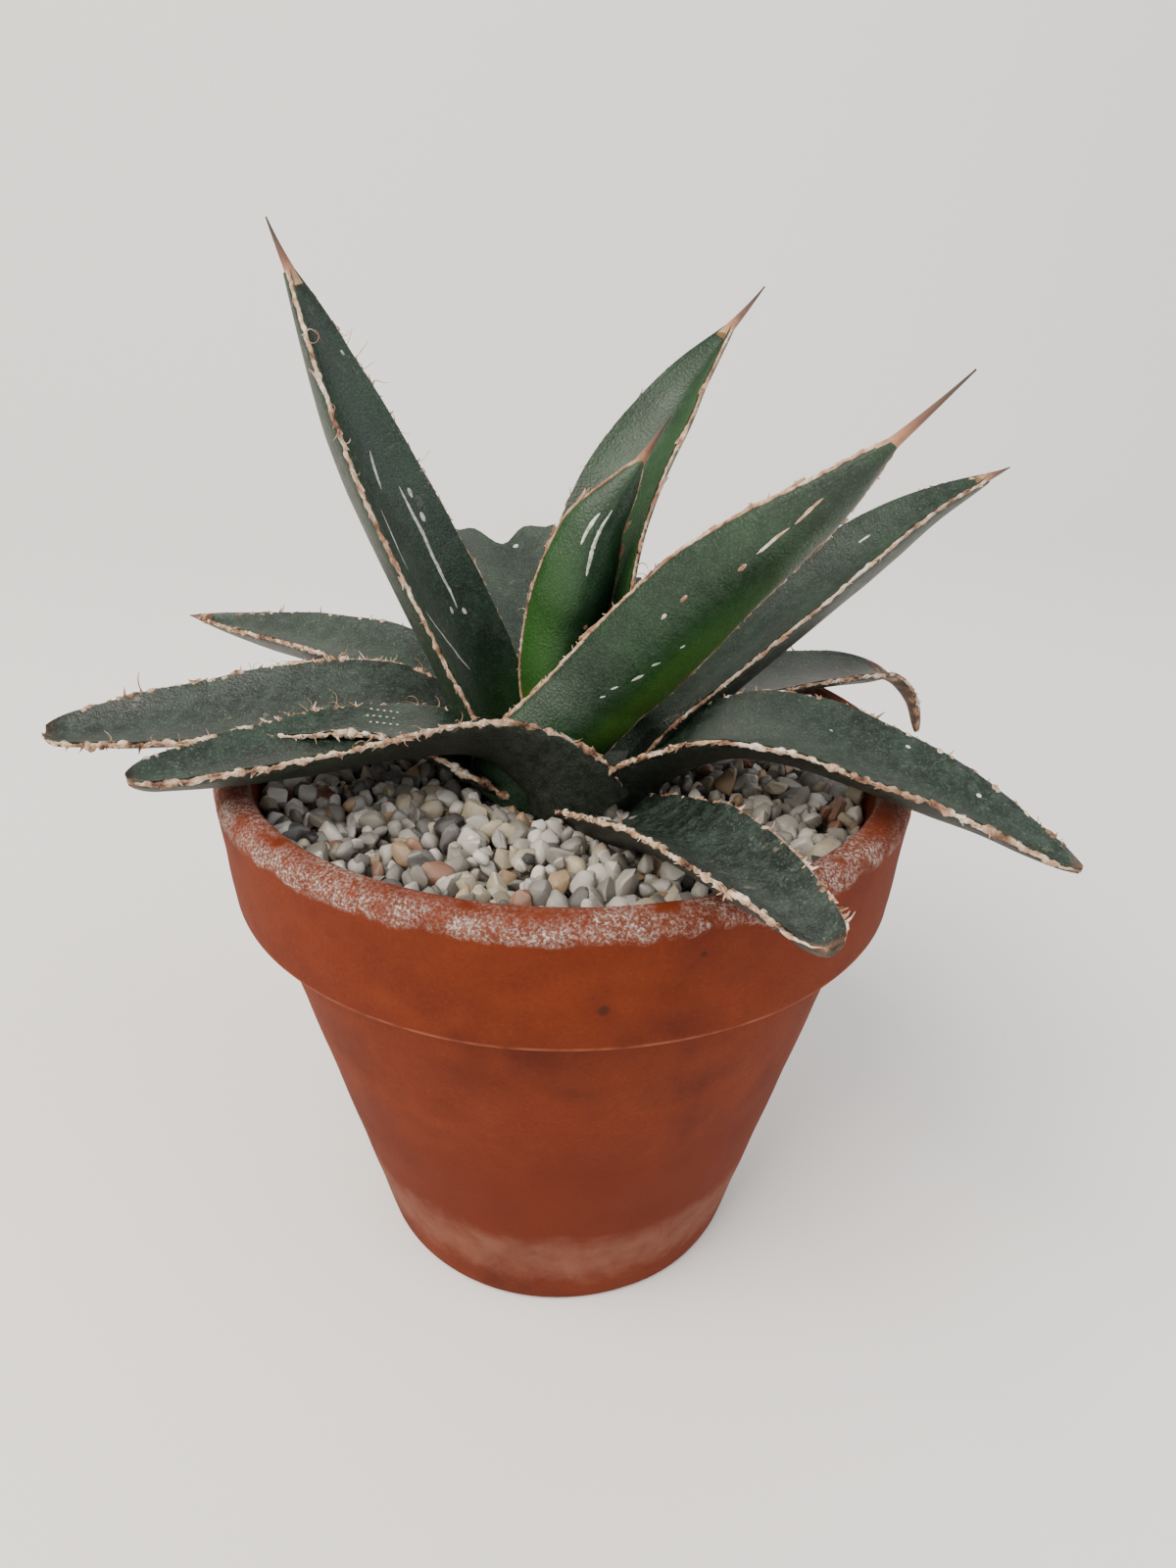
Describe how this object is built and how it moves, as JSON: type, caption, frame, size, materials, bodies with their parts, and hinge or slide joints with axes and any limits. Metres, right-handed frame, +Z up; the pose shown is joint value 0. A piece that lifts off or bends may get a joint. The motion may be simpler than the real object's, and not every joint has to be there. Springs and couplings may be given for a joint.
{
  "type": "potted agave",
  "caption": "Small open agave rosette with long channelled leaves and brown spines, in a round terracotta pot top-dressed with quartz grit.",
  "frame": {"origin": "middle of the underside of the whole object's box, at the level of the table the pot stands on", "axes": "+Z up; -Y towards the side the picture was taken from, +X to that view's right"},
  "size_m": [0.131, 0.1058, 0.1371],
  "materials": {
    "terracotta": "unglazed fired clay, matt, with lime bloom on the rim",
    "potting_mix": "dark damp potting mix",
    "grit": "washed quartz pebbles, white to grey and cream",
    "stem": "short green stem, hidden by the leaf bases",
    "leaf": "waxy dark green leaf with a chalky bloom, tan horny margins and brown spines"
  },
  "bodies": {
    "root": {"pot": "terracotta", "potting_mix": "potting_mix", "grit": "grit", "stem": "stem", "leaf_heart": "leaf", "leaf_inner_back": "leaf", "leaf_inner_right": "leaf", "leaf_tall_left": "leaf", "leaf_right_back": "leaf", "leaf_front_right": "leaf", "leaf_front_left": "leaf", "leaf_back": "leaf", "leaf_back_left": "leaf", "leaf_far_right": "leaf", "leaf_left": "leaf", "leaf_back_right": "leaf", "leaf_front": "leaf"}
  },
  "joints": []
}
